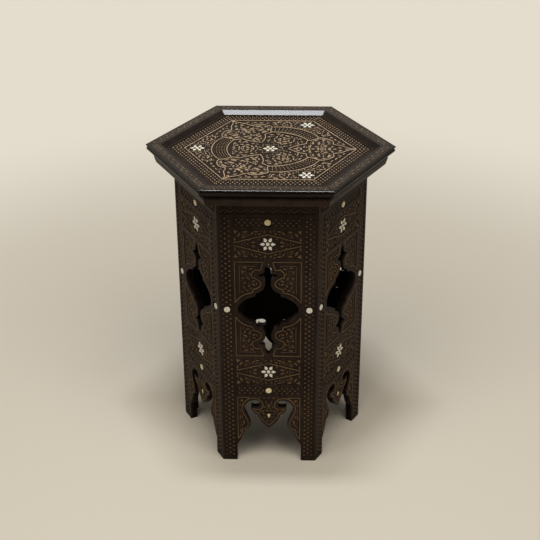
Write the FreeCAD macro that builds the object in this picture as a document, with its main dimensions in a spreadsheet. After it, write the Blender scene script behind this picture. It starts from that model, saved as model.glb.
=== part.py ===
"""Hexagonal carved side table with a mitred tray top, pierced side panels and bone inlay.

The frame is in millimetres: +Z is up, the floor is z = 0, the table's axis is the Z axis and the
front panel faces -Y. Six like sides stand around the axis, 60 degrees apart.
"""
import FreeCAD, Part
import Sketcher
import math
import os

from FreeCAD import Placement, Rotation, Vector

# Driving dimensions
SIZES = {
    # Whole table
    "table_height": 534.0,
    "top_across_corners": 406.0,
    # Top board and the moulded rim around it
    "top_overhang": 10.3,
    "board_thickness": 10.0,
    "tray_depth": 6.0,
    "rim_flat_width": 19.8,
    "rim_bevel_run": 7.5,
    "rim_lap": 16.0,
    "nose_height": 3.0,
    "nose_overhang": 0.7,
    "groove_height": 0.7,
    "bead_height": 7.3,
    "top_plain_strip": 5.0,
    # Apron moulding under the board
    "apron_depth": 27.8,
    "apron_height": 15.8,
    "apron_top_round": 5.0,
    "apron_batter": 3.0,
    # Side panels
    "panel_thickness": 12.0,
    "leg_width": 24.5,
    "arch_crown": 126.0,
    "window_side_margin": 4.0,
    "window_end_margin": 3.5,
    # Carved fields on the side panels, stacked from the arch upwards
    "ground_depth": 1.0,
    "strip_inset": 5.0,
    "strip_width": 16.0,
    "strip_foot": 7.0,
    "strip_gap": 5.0,
    "arch_field_top": 133.0,
    "band_gap": 6.0,
    "dot_strip_height": 14.0,
    "star_field_height": 50.0,
    "zigzag_gap": 8.0,
    "zigzag_height": 13.0,
    "zigzag_clear": 12.2,
    # Bone inlay, as thick as the carving is deep
    "star_radius": 12.3,
    "petal_inner_radius": 4.0,
    "petal_wide_radius": 6.8,
    "petal_half_width": 3.1,
    "star_eye_radius": 3.4,
    "disc_radius": 5.5,
    "drop_height": 10.0,
    "drop_width": 6.0,
    "drop_middle": 94.0,
    "top_star_inset": 23.0,
    # Hidden framing
    "cleat_width": 18.0,
    "cleat_height": 18.0,
    "block_leg": 18.0,
    "block_foot": 140.0,
    "nail_width": 2.6,
    "nail_head_width": 5.6,
    "nail_head_height": 2.0,
    "nail_bite": 7.0,
    "nail_fit": 0.05,
    # How far every cutting tool runs past the face that it cuts
    "overrun": 2.0,
}

# Places and sizes that follow from the driving dimensions
LAYOUT = {
    "top_apothem": "Sizes.top_across_corners / 2 * cos(30)",
    "apron_face": "Layout.top_apothem - Sizes.top_overhang",
    "base_apothem": "Layout.apron_face - Sizes.apron_depth",
    "inner_apothem": "Layout.base_apothem - Sizes.panel_thickness",
    "base_half_side": "Layout.base_apothem * tan(30)",
    "inner_half_side": "Layout.inner_apothem * tan(30)",
    "board_top": "Sizes.table_height - Sizes.tray_depth",
    "panel_top": "Layout.board_top - Sizes.board_thickness",
    "nose_centre": "Layout.top_apothem - Sizes.nose_height / 2",
    "rim_inner": "Layout.nose_centre - Sizes.rim_flat_width",
    "bevel_foot": "Layout.rim_inner - Sizes.rim_bevel_run",
    "board_apothem": "Layout.bevel_foot + Sizes.rim_lap",
    "bead_centre": "Layout.top_apothem - Sizes.nose_overhang - Sizes.bead_height / 2",
    "nose_foot": "Sizes.table_height - Sizes.nose_height",
    "bead_top": "Layout.nose_foot - Sizes.groove_height",
    "rim_foot": "Layout.bead_top - Sizes.bead_height",
    "nose_middle": "Sizes.table_height - Sizes.nose_height / 2",
    "bead_middle": "Layout.bead_top - Sizes.bead_height / 2",
    "top_field_apothem": "Layout.bevel_foot - Sizes.top_plain_strip",
    "apron_foot": "Layout.panel_top - Sizes.apron_height",
    "apron_top_turn": "Layout.apron_face - Sizes.apron_top_round",
    "apron_top_spring": "Layout.panel_top - Sizes.apron_top_round",
    "apron_foot_face": "Layout.apron_face - Sizes.apron_batter",
    "cleat_inner": "Layout.inner_apothem - Sizes.cleat_width",
    "cleat_foot": "Layout.panel_top - Sizes.cleat_height",
    "cleat_half_length": "Layout.cleat_inner * tan(30)",
    "inner_corner": "Layout.inner_apothem / cos(30)",
    "block_face": "Layout.inner_corner - Sizes.block_leg * cos(60)",
    "block_half_width": "Sizes.block_leg * sin(60)",
    "block_far_side": "-Layout.block_half_width",
    "on_axis": "0",
    "sector_near": "Layout.cleat_inner / 2",
    "sector_far": "Layout.top_apothem + Sizes.overrun",
    "arch_half_width": "Layout.base_half_side - Sizes.leg_width",
    "strip_outer": "Layout.base_half_side - Sizes.strip_inset",
    "strip_inner": "Layout.strip_outer - Sizes.strip_width",
    "field_half_width": "Layout.strip_inner - Sizes.strip_gap",
    "low_dots_foot": "Sizes.arch_field_top + Sizes.band_gap",
    "low_star_foot": "Layout.low_dots_foot + Sizes.dot_strip_height + Sizes.band_gap",
    "centre_foot": "Layout.low_star_foot + Sizes.star_field_height + Sizes.band_gap",
    "zigzag_foot": "Layout.apron_foot - Sizes.zigzag_clear - Sizes.zigzag_height",
    "strip_top": "Layout.zigzag_foot - Sizes.zigzag_gap",
    "high_dots_foot": "Layout.strip_top - Sizes.dot_strip_height",
    "high_star_foot": "Layout.high_dots_foot - Sizes.band_gap - Sizes.star_field_height",
    "centre_top": "Layout.high_star_foot - Sizes.band_gap",
    "window_middle": "(Layout.centre_foot + Layout.centre_top) / 2",
    "window_half_height": "Layout.centre_top - Layout.window_middle - Sizes.window_end_margin",
    "window_half_width": "Layout.field_half_width - Sizes.window_side_margin",
    "top_star_circle": "Layout.top_field_apothem - Sizes.top_star_inset",
    "board_nail_length": "Sizes.cleat_height + Sizes.nail_bite",
    "panel_nail_length": "Sizes.cleat_width + Sizes.nail_bite",
}

# A quarter of the window's outline from its top point to its side, as shares of half its width
# and height. One point ends a straight run; two points are the middle and the end of an arc.
WINDOW_SHARES = [
    [(0.0, 1.0)],
    [(0.073, 0.947), (0.111, 0.895)],
    [(0.111, 0.819)],
    [(0.212, 0.784), (0.354, 0.743)],
    [(0.168, 0.690), (0.091, 0.573)],
    [(0.176, 0.441), (0.394, 0.368)],
    [(0.414, 0.298)],
    [(0.707, 0.232), (0.919, 0.129)],
    [(0.979, 0.068), (1.0, 0.0)],
]
# The plain margin left standing around the window, in straight cuts
WINDOW_MARGIN_SHARES = [
    [(0.0, 1.09)],
    [(0.13, 1.03)],
    [(0.22, 0.90)],
    [(0.29, 0.835)],
    [(0.41, 0.81)],
    [(0.48, 0.71)],
    [(0.28, 0.675)],
    [(0.18, 0.58)],
    [(0.28, 0.475)],
    [(0.455, 0.44)],
    [(0.475, 0.363)],
    [(0.79, 0.29)],
    [(1.05, 0.14)],
    [(1.12, 0.0)],
]

# Half of the arch's outline from the top of the leg to the pendant's tip, in the same form, as
# shares of half its width and of its crown's height
ARCH_SHARES = [
    [(1.0, 0.262)],
    [(0.855, 0.377), (0.760, 0.492)],
    [(0.755, 0.516)],
    [(0.618, 0.556), (0.573, 0.611)],
    [(0.655, 0.714), (0.755, 0.825)],
    [(0.718, 0.929), (0.436, 1.000)],
    [(0.258, 0.944), (0.373, 0.881)],
    [(0.464, 0.883), (0.545, 0.905)],
    [(0.500, 0.821), (0.364, 0.770)],
    [(0.245, 0.663), (0.000, 0.548)],
]
# The plain margin left standing around the arch, in straight cuts
ARCH_MARGIN_SHARES = [
    [(1.0, 0.29)],
    [(0.87, 0.42)],
    [(0.82, 0.53)],
    [(0.69, 0.56)],
    [(0.65, 0.62)],
    [(0.83, 0.81)],
    [(0.84, 0.90)],
    [(0.69, 1.00)],
    [(0.46, 1.035)],
    [(0.26, 0.99)],
    [(0.20, 0.91)],
    [(0.27, 0.86)],
    [(0.39, 0.845)],
    [(0.50, 0.885)],
    [(0.44, 0.81)],
    [(0.33, 0.79)],
    [(0.21, 0.69)],
    [(0.0, 0.59)],
]

# Nail places along half of a cleat: up into the board, and out into the panel
BOARD_NAIL_SHARE = 0.35
PANEL_NAIL_SHARE = 0.70

SIDES = ["front", "front_right", "back_right", "back", "back_left", "front_left"]
CORNERS = ["right", "back_right", "back_left", "left", "front_left", "front_right"]
SIDE_ANGLE = 60
HALF_TURN = 180
TOP_STAR_ANGLES = [60, 180, 300]
DISC_CUTS = 12
DROP_CUTS = 6
UP = Vector(0, 0, 1)

doc = FreeCAD.newDocument("side_table")
nodes = []


def fill_sheet():
    """Put the driving dimensions in the spreadsheet and the derived ones in the layout set."""
    sheet = doc.addObject("Spreadsheet::Sheet", "Sizes")
    for row, (alias, value) in enumerate(SIZES.items(), start=1):
        sheet.set(f"A{row}", alias)
        sheet.set(f"B{row}", str(value))
        sheet.setAlias(f"B{row}", alias)
    doc.recompute()
    layout = doc.addObject("App::VarSet", "Layout")
    for name, expression in LAYOUT.items():
        layout.addProperty("App::PropertyFloat", name, "Layout")
        layout.setExpression(name, expression)
    doc.recompute()
    values = {alias: float(sheet.get(alias)) for alias in SIZES}
    values.update({name: float(getattr(layout, name)) for name in LAYOUT})
    return values


size = fill_sheet()


def bind(item, **expressions):
    """Bind properties of a document object to expressions on the sheet and the layout."""
    for name, expression in expressions.items():
        item.setExpression(name, expression)
    return item


def shaped(name, shape):
    """A document object with a computed shape."""
    item = doc.addObject("Part::Feature", name)
    item.Shape = shape
    return item


def boolean(kind, name, base, tool):
    """A Part::Cut or Part::Common of two document objects."""
    item = doc.addObject(kind, name)
    item.Base = base
    item.Tool = tool
    return item


def node(item, label, angle=0):
    """Keep an object as a sub-part under its label, turned about the table's axis."""
    item.Label = label
    item.Placement = Placement(Vector(), Rotation(UP, angle))
    nodes.append(item)


def around(make, label, turn=0):
    """Make one like sub-part for each side."""
    for index, side in enumerate(SIDES):
        name = f"{label}_{side}"
        node(make(f"node_{name}"), name, turn + index * SIDE_ANGLE)


def run_edges(runs, place):
    """Edges of an outline of straight runs and arcs; place turns a share pair into a point."""
    edges = []
    last = place(runs[0][0])
    for run in runs[1:]:
        points = [place(share) for share in run]
        curve = Part.LineSegment if len(points) == 1 else Part.Arc
        edges.append(curve(last, *points).toShape())
        last = points[-1]
    return edges


def closed_face(edges):
    """The flat face inside a ring of edges."""
    return Part.Face(Part.Wire(Part.__sortEdges__(edges)))


def window_face(runs):
    """The pierced window: two round side lobes, waisted necks, horns and pointed tips."""
    half_width = size["window_half_width"]
    half_height = size["window_half_height"]
    edges = []
    for across in (1, -1):
        for along in (1, -1):
            edges += run_edges(runs, lambda share: Vector(
                across * share[0] * half_width, 0, size["window_middle"] + along * share[1] * half_height))
    return closed_face(edges)


def arch_face(runs):
    """The cusped arch between the feet, with scroll eyes and a hanging pendant."""
    half_width = size["arch_half_width"]
    foot = -size["overrun"]
    edges = []
    for across in (1, -1):
        def place(share):
            return Vector(across * share[0] * half_width, 0, share[1] * size["arch_crown"])

        edges += run_edges(runs, place)
        leg_foot = Vector(across * half_width, 0, foot)
        edges.append(Part.LineSegment(leg_foot, place(runs[0][0])).toShape())
    edges.append(Part.LineSegment(Vector(half_width, 0, foot), Vector(-half_width, 0, foot)).toShape())
    return closed_face(edges)


def rectangle(left, right, foot, top):
    """A flat rectangle in the XZ plane."""
    corners = [(left, foot), (right, foot), (right, top), (left, top), (left, foot)]
    return Part.Face(Part.makePolygon([Vector(x, 0, z) for x, z in corners]))


def sunk(face, depth):
    """A cutter that takes a flat XZ face from in front of the front panel down to a depth."""
    front = -size["base_apothem"] - size["overrun"]
    return face.translated(Vector(0, front, 0)).extrude(Vector(0, depth + size["overrun"], 0))


def field_faces():
    """The sunk grounds of the carving: border strips, dotted bands and framed fields."""
    half = size["field_half_width"]
    strips = [
        rectangle(across * size["strip_inner"], across * size["strip_outer"],
                  size["strip_foot"], size["strip_top"])
        for across in (1, -1)
    ]
    bands = [
        rectangle(-half, half, foot, foot + height)
        for foot, height in (
            (size["low_dots_foot"], size["dot_strip_height"]),
            (size["low_star_foot"], size["star_field_height"]),
            (size["high_star_foot"], size["star_field_height"]),
            (size["high_dots_foot"], size["dot_strip_height"]),
        )
    ]
    zigzag = rectangle(-size["strip_outer"], size["strip_outer"],
                       size["zigzag_foot"], size["zigzag_foot"] + size["zigzag_height"])
    centre = rectangle(-half, half, size["centre_foot"], size["centre_top"])
    spandrel = rectangle(-half, half, ARCH_SHARES[0][0][1] * size["arch_crown"], size["arch_field_top"])
    pierced = centre.cut(window_face(WINDOW_MARGIN_SHARES)).Faces
    pierced += spandrel.cut(arch_face(ARCH_MARGIN_SHARES)).Faces
    return strips + bands + [zigzag] + pierced


def polygon(points):
    """A closed flat outline in the XY plane."""
    corners = [Vector(x, y, 0) for x, y in points]
    return Part.makePolygon(corners + corners[:1])


def arc_points(radius, count, start, sweep, centre=0.0):
    """Points on an arc around a centre on the Y axis; angles are in degrees."""
    angles = [math.radians(start + sweep * index / count) for index in range(count)]
    return [(radius * math.cos(angle), centre + radius * math.sin(angle)) for angle in angles]


def star_wires():
    """Flat outlines, around the origin, of a star's six petals and its eye."""
    wide = size["petal_wide_radius"]
    half = size["petal_half_width"]
    kite = polygon([(size["petal_inner_radius"], 0), (wide, half), (size["star_radius"], 0), (wide, -half)])
    eye = polygon(arc_points(size["star_eye_radius"], len(SIDES), 0, 2 * HALF_TURN))
    return [eye] + [kite.rotated(Vector(), UP, index * SIDE_ANGLE) for index in range(len(SIDES))]


def disc_wires():
    """The flat outline of a round inlay, filed in short cuts."""
    return [polygon(arc_points(size["disc_radius"], DISC_CUTS, 0, 2 * HALF_TURN))]


def drop_wires():
    """The flat outline of the drop on the pendant: a round head drawn down to a point."""
    radius = size["drop_width"] / 2
    centre = size["drop_height"] / 2 - radius
    head = arc_points(radius, DROP_CUTS, 0, HALF_TURN, centre)
    return [polygon(head + [(-radius, centre), (0, -size["drop_height"] / 2)])]


def inlay_solids(make_wires, place):
    """The solids of one inlay, as thick as the carving is deep, at a placement of its foot."""
    solids = []
    for wire in make_wires():
        piece = Part.Face(wire).extrude(UP * size["ground_depth"])
        piece.Placement = place
        solids.append(piece)
    return solids


def panel_inlays(make_wires, places):
    """Inlay solids on the sunk grounds of the front panel."""
    upright = Rotation(Vector(1, 0, 0), 90)
    ground = size["ground_depth"] - size["base_apothem"]
    solids = []
    for x, z in places:
        solids += inlay_solids(make_wires, Placement(Vector(x, ground, z), upright))
    return solids


def star_places():
    """Where the stars lie on a panel, as pairs across the panel and above the floor."""
    half = size["star_field_height"] / 2
    return [(0, size["low_star_foot"] + half), (0, size["high_star_foot"] + half)]


def disc_places():
    """Where the round inlays lie: one beside each window lobe and one in each dotted band."""
    beside = (size["strip_inner"] + size["strip_outer"]) / 2
    half = size["dot_strip_height"] / 2
    return [
        (-beside, size["window_middle"]),
        (beside, size["window_middle"]),
        (0, size["low_dots_foot"] + half),
        (0, size["high_dots_foot"] + half),
    ]


def drop_places():
    """Where the drop hangs on the pendant."""
    return [(0, size["drop_middle"])]


INLAYS = {
    "star_inlay": (star_wires, star_places()),
    "disc_inlay": (disc_wires, disc_places()),
    "drop_inlay": (drop_wires, drop_places()),
}


def nail(length, fit=0.0):
    """A square cut nail, head down at the origin, pointing up, or with a fit its hole."""
    def bar(width, height):
        side = width + 2 * fit
        return Part.makeBox(side, side, height + fit, Vector(-side / 2, -side / 2, 0))

    return bar(size["nail_head_width"], size["nail_head_height"]).fuse(bar(size["nail_width"], length))


def nail_places(share):
    """Places of a pair of nails along a cleat."""
    return [across * share * size["cleat_half_length"] for across in (1, -1)]


def board_nails(fit=0.0):
    """Nails of the front cleat that go up into the top board."""
    middle = -(size["cleat_inner"] + size["cleat_width"] / 2)
    nails = []
    for x in nail_places(BOARD_NAIL_SHARE):
        piece = nail(size["board_nail_length"], fit)
        piece.Placement = Placement(Vector(x, middle, size["cleat_foot"]), Rotation())
        nails.append(piece)
    return nails


def panel_nails(fit=0.0):
    """Nails of the front cleat that go out into the side panel."""
    height = size["cleat_foot"] + size["cleat_height"] / 2
    outward = Rotation(Vector(1, 0, 0), 90)
    nails = []
    for x in nail_places(PANEL_NAIL_SHARE):
        piece = nail(size["panel_nail_length"], fit)
        piece.Placement = Placement(Vector(x, -size["cleat_inner"], height), outward)
        nails.append(piece)
    return nails


def turned_about(shapes):
    """Copies of shapes of the front side on all six sides."""
    copies = []
    for index in range(len(SIDES)):
        for shape in shapes:
            copies.append(shape.rotated(Vector(), UP, index * SIDE_ANGLE))
    return copies


def build_panels():
    """Six side panels, mitred along their edges, pierced, with sunk grounds for the carving."""
    board = bind(
        doc.addObject("Part::Wedge", "panel_board"),
        Xmin="-Layout.base_half_side", Xmax="Layout.base_half_side",
        X2min="-Layout.inner_half_side", X2max="Layout.inner_half_side",
        Ymin="-Layout.base_apothem", Ymax="-Layout.inner_apothem",
        Zmin="0", Zmax="Layout.panel_top", Z2min="0", Z2max="Layout.panel_top",
    )
    through = size["panel_thickness"] + size["overrun"]
    cutters = [
        shaped("window_cutter", sunk(window_face(WINDOW_SHARES), through)),
        shaped("arch_cutter", sunk(arch_face(ARCH_SHARES), through)),
        shaped("panel_nail_holes", Part.makeCompound(panel_nails(size["nail_fit"]))),
    ]
    for index, face in enumerate(field_faces()):
        cutters.append(shaped(f"ground_cutter_{index}", sunk(face, size["ground_depth"])))
    tool = doc.addObject("Part::Compound", "panel_cutters")
    tool.Links = cutters
    around(lambda name: boolean("Part::Cut", name, board, tool), "side_panel")


def build_inlays():
    """Bone inlay of the six panels and the stars of the top."""
    for label, (make_wires, places) in INLAYS.items():
        shape = Part.makeCompound(panel_inlays(make_wires, places))
        around(lambda name: shaped(name, shape), label)
    node(shaped("node_top_star_inlay", Part.makeCompound(top_stars())), "top_star_inlay")


def top_stars():
    """Stars of the top, one in the middle and three on a circle, on the sunk ground."""
    foot = Vector(0, 0, size["board_top"] - size["ground_depth"])
    spots = [foot]
    for angle in TOP_STAR_ANGLES:
        spots.append(foot + Rotation(UP, angle).multVec(Vector(size["top_star_circle"], 0, 0)))
    return [piece for spot in spots for piece in inlay_solids(star_wires, Placement(spot, Rotation()))]


def cell(name):
    """The expression that reads a driving or derived value."""
    return f"Sizes.{name}" if name in SIZES else f"Layout.{name}"


def section_sketch(body, role, points, rounds):
    """A closed section on one of a body's own planes, with every corner tied to named values.

    points are pairs of names, taken anticlockwise, and rounds gives the centre of the outward arc
    that leaves a corner.
    """
    plane = next(item for item in body.Origin.OriginFeatures if item.Role == role)
    sketch = body.newObject("Sketcher::SketchObject", f"{body.Name}_section")
    sketch.AttachmentSupport = [(plane, "")]
    sketch.MapMode = "FlatFace"
    corners = [Vector(size[across], size[along], 0) for across, along in points]
    for index, start in enumerate(corners):
        end = corners[(index + 1) % len(corners)]
        if index in rounds:
            centre = Vector(*[size[name] for name in rounds[index]], 0)
            outward = start + end - centre * 2
            if outward.Length < size["nail_fit"]:
                outward = Vector(1, 0, 0)
            middle = centre + outward.normalize() * (start - centre).Length
            sketch.addGeometry(Part.Arc(start, middle, end))
        else:
            sketch.addGeometry(Part.LineSegment(start, end))
    tie_section(sketch, points, rounds)
    return sketch


def tie_section(sketch, points, rounds):
    """Join a section's runs and bind its corners and arc centres to the named values."""
    start, end, centre, origin = 1, 2, 3, -1
    for index, (across, along) in enumerate(points):
        following = (index + 1) % len(points)
        sketch.addConstraint(Sketcher.Constraint("Coincident", index, end, following, start))
        ties = [("DistanceX", start, across), ("DistanceY", start, along)]
        if index in rounds:
            ties.append(("DistanceX", centre, rounds[index][0]))
        for kind, spot, name in ties:
            tie = sketch.addConstraint(Sketcher.Constraint(kind, origin, 1, index, spot, size[name]))
            sketch.setExpression(f"Constraints[{tie}]", cell(name))


def profile_bar(name, points, rounds):
    """A straight moulding along X, on the +Y side, long enough to be mitred."""
    body = doc.addObject("PartDesign::Body", name)
    pad = body.newObject("PartDesign::Pad", f"{name}_pad")
    pad.Profile = section_sketch(body, "YZ_Plane", points, rounds)
    pad.Midplane = True
    bind(pad, Length="2 * Layout.sector_far * tan(30)")
    return body


def build_mouldings():
    """Mitred rim rails, apron mouldings and cleats: bars trimmed to a sixth of the table."""
    sector = bind(
        doc.addObject("Part::Wedge", "sector"),
        Xmin="-Layout.sector_near * tan(30)", Xmax="Layout.sector_near * tan(30)",
        X2min="-Layout.sector_far * tan(30)", X2max="Layout.sector_far * tan(30)",
        Ymin="Layout.sector_near", Ymax="Layout.sector_far",
        Zmin="0", Zmax="Sizes.table_height + Sizes.overrun",
        Z2min="0", Z2max="Sizes.table_height + Sizes.overrun",
    )
    rim = profile_bar(
        "rim_bar",
        [("board_apothem", "rim_foot"), ("bead_centre", "rim_foot"), ("bead_centre", "bead_top"),
         ("bead_centre", "nose_foot"), ("nose_centre", "nose_foot"), ("nose_centre", "table_height"),
         ("rim_inner", "table_height"), ("bevel_foot", "board_top"), ("board_apothem", "board_top")],
        {1: ("bead_centre", "bead_middle"), 4: ("nose_centre", "nose_middle")},
    )
    apron = profile_bar(
        "apron_bar",
        [("base_apothem", "apron_foot"), ("apron_foot_face", "apron_foot"),
         ("apron_face", "apron_top_spring"), ("apron_top_turn", "panel_top"),
         ("base_apothem", "panel_top")],
        {2: ("apron_top_turn", "apron_top_spring")},
    )
    cleat = profile_bar(
        "cleat_bar",
        [("cleat_inner", "cleat_foot"), ("inner_apothem", "cleat_foot"),
         ("inner_apothem", "panel_top"), ("cleat_inner", "panel_top")],
        {},
    )
    around(lambda name: boolean("Part::Common", name, rim, sector), "rim_rail", HALF_TURN)
    around(lambda name: boolean("Part::Common", name, apron, sector), "apron_moulding", HALF_TURN)
    mitred = boolean("Part::Common", "mitred_cleat", cleat, sector)
    holes = board_nails(size["nail_fit"]) + panel_nails(size["nail_fit"])
    turned = [hole.rotated(Vector(), UP, HALF_TURN) for hole in holes]
    tool = shaped("cleat_nail_holes", Part.makeCompound(turned))
    around(lambda name: boolean("Part::Cut", name, mitred, tool), "top_cleat", HALF_TURN)


def build_corner_blocks():
    """Triangular glue blocks that stand in the inside corners, under the cleats."""
    for index, corner in enumerate(CORNERS):
        body = doc.addObject("PartDesign::Body", f"node_corner_block_{corner}")
        pad = body.newObject("PartDesign::Pad", f"{body.Name}_pad")
        points = [("inner_corner", "on_axis"), ("block_face", "block_half_width"),
                  ("block_face", "block_far_side")]
        pad.Profile = section_sketch(body, "XY_Plane", points, {})
        bind(pad.Profile[0], **{"AttachmentOffset.Base.z": "Sizes.block_foot"})
        bind(pad, Length="Layout.cleat_foot - Sizes.block_foot")
        node(body, f"corner_block_{corner}", index * SIDE_ANGLE)


def hexagon(name, apothem, foot, height):
    """A hexagonal prism with corners on the X axis, bound to expressions."""
    return bind(
        doc.addObject("Part::Prism", name),
        Circumradius=f"({apothem}) / cos(30)", Height=height, **{"Placement.Base.z": foot},
    )


def build_top_board():
    """The hexagonal board with its sunk carved field and nail holes."""
    board = hexagon("board_blank", "Layout.board_apothem", "Layout.panel_top", "Sizes.board_thickness")
    ground = hexagon("top_ground_cutter", "Layout.top_field_apothem",
                     "Layout.board_top - Sizes.ground_depth", "Sizes.ground_depth + Sizes.overrun")
    holes = shaped("board_nail_holes", Part.makeCompound(turned_about(board_nails(size["nail_fit"]))))
    tool = doc.addObject("Part::MultiFuse", "board_cutters")
    tool.Shapes = [ground, holes]
    node(boolean("Part::Cut", "node_top_board", board, tool), "top_board")


def build_nails():
    """Nails of all six cleats, as two groups of separate solids."""
    for label, nails in (("board_nails", board_nails()), ("panel_nails", panel_nails())):
        node(shaped(f"node_{label}", Part.makeCompound(turned_about(nails))), label)


def check_and_write():
    """Refuse failed objects and bad shapes, then write one STEP file for each sub-part."""
    doc.recompute()
    for item in doc.Objects:
        if "Invalid" in item.State or "Error" in item.State:
            raise RuntimeError(f"{item.Name} failed: {item.State}")
    os.makedirs("parts", exist_ok=True)
    for item in nodes:
        if item.Shape.isNull() or not item.Shape.isValid():
            raise RuntimeError(f"{item.Label} has a bad shape")
        item.Shape.exportStep(os.path.join("parts", f"{item.Label}.step"))
        print(item.Label, len(item.Shape.Solids), round(item.Shape.Volume))


build_panels()
build_inlays()
build_mouldings()
build_corner_blocks()
build_top_board()
build_nails()
check_and_write()
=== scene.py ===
import math
import random

import bmesh
import bpy
from mathutils import Matrix, Vector


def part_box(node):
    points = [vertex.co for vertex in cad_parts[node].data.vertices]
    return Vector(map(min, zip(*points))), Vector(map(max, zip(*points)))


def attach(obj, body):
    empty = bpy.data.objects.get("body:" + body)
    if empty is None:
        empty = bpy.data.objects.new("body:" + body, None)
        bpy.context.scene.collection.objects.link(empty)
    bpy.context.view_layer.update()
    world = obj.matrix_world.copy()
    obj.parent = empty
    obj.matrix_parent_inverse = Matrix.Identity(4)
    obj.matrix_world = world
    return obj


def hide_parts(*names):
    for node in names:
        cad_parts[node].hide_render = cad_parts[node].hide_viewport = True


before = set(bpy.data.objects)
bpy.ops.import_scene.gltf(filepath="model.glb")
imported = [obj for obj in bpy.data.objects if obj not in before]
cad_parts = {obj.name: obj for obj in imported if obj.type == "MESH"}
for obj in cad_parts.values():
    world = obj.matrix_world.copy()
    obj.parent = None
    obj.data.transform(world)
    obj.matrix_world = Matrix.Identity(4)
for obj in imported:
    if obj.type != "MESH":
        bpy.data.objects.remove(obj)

bl_info = {
    "name": "Carved Hexagonal Side Table",
    "version": (1, 0, 0),
    "blender": (4, 5, 0),
    "location": "View3D > Sidebar > Side Table",
    "description": "Dresses the packed table with carving, bone inlay and dark lacquer",
    "category": "Object",
}

MM = 0.001
BODY = "root"
SIDES = ("front", "front_right", "back_right", "back", "back_left", "front_left")
SIDE_ANGLE = 60.0
SIDE_TURNS = tuple(SIDE_ANGLE * index for index in range(len(SIDES)))
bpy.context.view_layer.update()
PANEL_FACE = -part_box("side_panel_front")[0].y
BOARD_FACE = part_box("top_board")[1].z
RIM_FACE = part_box("rim_rail_front")[1].z
GROUND_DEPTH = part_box("top_star_inlay")[1].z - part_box("top_star_inlay")[0].z

# Places in the drawings of a side and of the top, in millimetres and degrees.
STAR_HEIGHTS = (184.0, 424.0)
WINDOW_HEIGHT = 304.0
DISC_SPOTS = ((-66.5, 304.0), (66.5, 304.0), (0.0, 146.0), (0.0, 462.0))
DISC_RADIUS = 5.0
DISC_MARGIN = 8.2
DROP_HEIGHT = 94.0
STRIP_FOOT = 7.0
STRIP_LENGTH = 462
BAND_FEET = (139, 455)
BAND_WIDTH = 107
TEETH_FOOT = 479.4
TEETH_STEP = 8.25
CARTOUCHE_TURNS = (0, 120, 240)
TOP_STAR_TURNS = (60, 180, 300)
TOP_STAR_RADIUS = 119.0
ROSETTE_RADIUS = 44
HEXAGON_RADIUS = 139.6
RING_PITCH = 4.3
RING_STEPS = range(-6, 7)
RIM_MIDDLE = -164.6
RIM_WAVE = 16.8
NOSE_CENTRE = 174.3
NOSE_ROUND = 1.5
NOSE_TILT = 31.7

# The cut of the carving, mostly as shares of a width, a length or the relief.
STROKE_STEPS = 3
STROKE_LIFT = 0.5
STROKE_SIDES = 6
SOFT_TOP = 0.3
FLAT_HEIGHT = 0.8
FLAT_SHARE = 0.866
THIN = 0.7
LEAF_HEIGHT = 0.9
LEAF_STOPS = (-0.5, -0.22, 0.1, 0.34, 0.5)
TAKEN_STEP = 1.5
CARVING_SEED = 11
FILL_JITTER = 0.2
FILL_RISE = 0.87
FILL_TURN = 25
FILL_LEAN = 62
FILL_ROOM = 0.36
STALK_ROOM = 0.7
STALK_TURNS = (24, 58, 96)
TRIANGLE = 3
DOT = 4
STUD_ROOM = 1.2
STUD_TAPER = 0.55

# Section of the rim's polished edge, along and out from its nose.
EDGE_SECTION = ((-0.3, -0.4), (0.3, -0.4), (0.3, 0.06), (-0.3, 0.06))

# Depths in metres behind a panel's face between which its lacquer is painted darker, as shade on cut edges
# and inner faces.
PAINTED_SHADE_DEPTHS = (0.0015, 0.006)

# Rings of an inlaid tile as shares of its outline and of its height, and the outline of a petal.
TILE_RINGS = ((1.0, -0.1), (1.0, 0.72), (0.9, 0.95), (0.55, 1.08))
PETAL = ((4.4, 0.0), (5.6, 1.6), (7.5, 2.8), (9.8, 1.8), (12.5, 0.0), (9.8, -1.8), (7.5, -2.8), (5.6, -1.6))

# The stage, in metres and degrees; the sensor is in millimetres.
WARM = (1.0, 0.95, 0.88)
COOL = (0.94, 0.96, 1.0)
FLOOR_RADIUS = 6.0
FLOOR_FADE = (0.5, 1.5)
SIDE_LIGHT_SIZE = (1.6, 1.6)
SIDE_LIGHT_PLACE = (0.86, -1.36, 3.25)
SIDE_LIGHT_TARGET = (0.0, 0.0, 0.35)
OVERHEAD_SIZE = (0.42, 0.14)
OVERHEAD_PLACE = (-0.0565, -0.128, 2.35)
OVERHEAD_TARGET = (-0.0565, -0.127, 0.0)
CAMERA_PLACE = (0.06236, -1.73046, 1.26462)
CAMERA_TURNS = (29.07, 2.12, -0.32)
SENSOR_WIDTH = 36.0


def around(radius, angle):
    """A spot at a radius and an angle in degrees."""
    return (radius * math.cos(math.radians(angle)), radius * math.sin(math.radians(angle)))


def tint(red, green, blue):
    """A display colour, 0 to 255, as the linear colour a shader takes."""
    shares = [channel / 255 for channel in (red, green, blue)]
    return [share / 12.92 if share <= 0.04045 else ((share + 0.055) / 1.055) ** 2.4 for share in shares]


def colour_prop(name, description, default):
    """A colour that a user may change."""
    return bpy.props.FloatVectorProperty(
        name=name, description=description, subtype="COLOR", size=3, min=0.0, max=1.0, default=default)


def number_prop(name, description, default, **manner):
    """A number that a user may change."""
    return bpy.props.FloatProperty(name=name, description=description, default=default, min=0.0, **manner)


def length_prop(name, description, default):
    """A length, in metres, that a user may change."""
    return number_prop(name, description, default, unit="LENGTH", precision=5)


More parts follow.
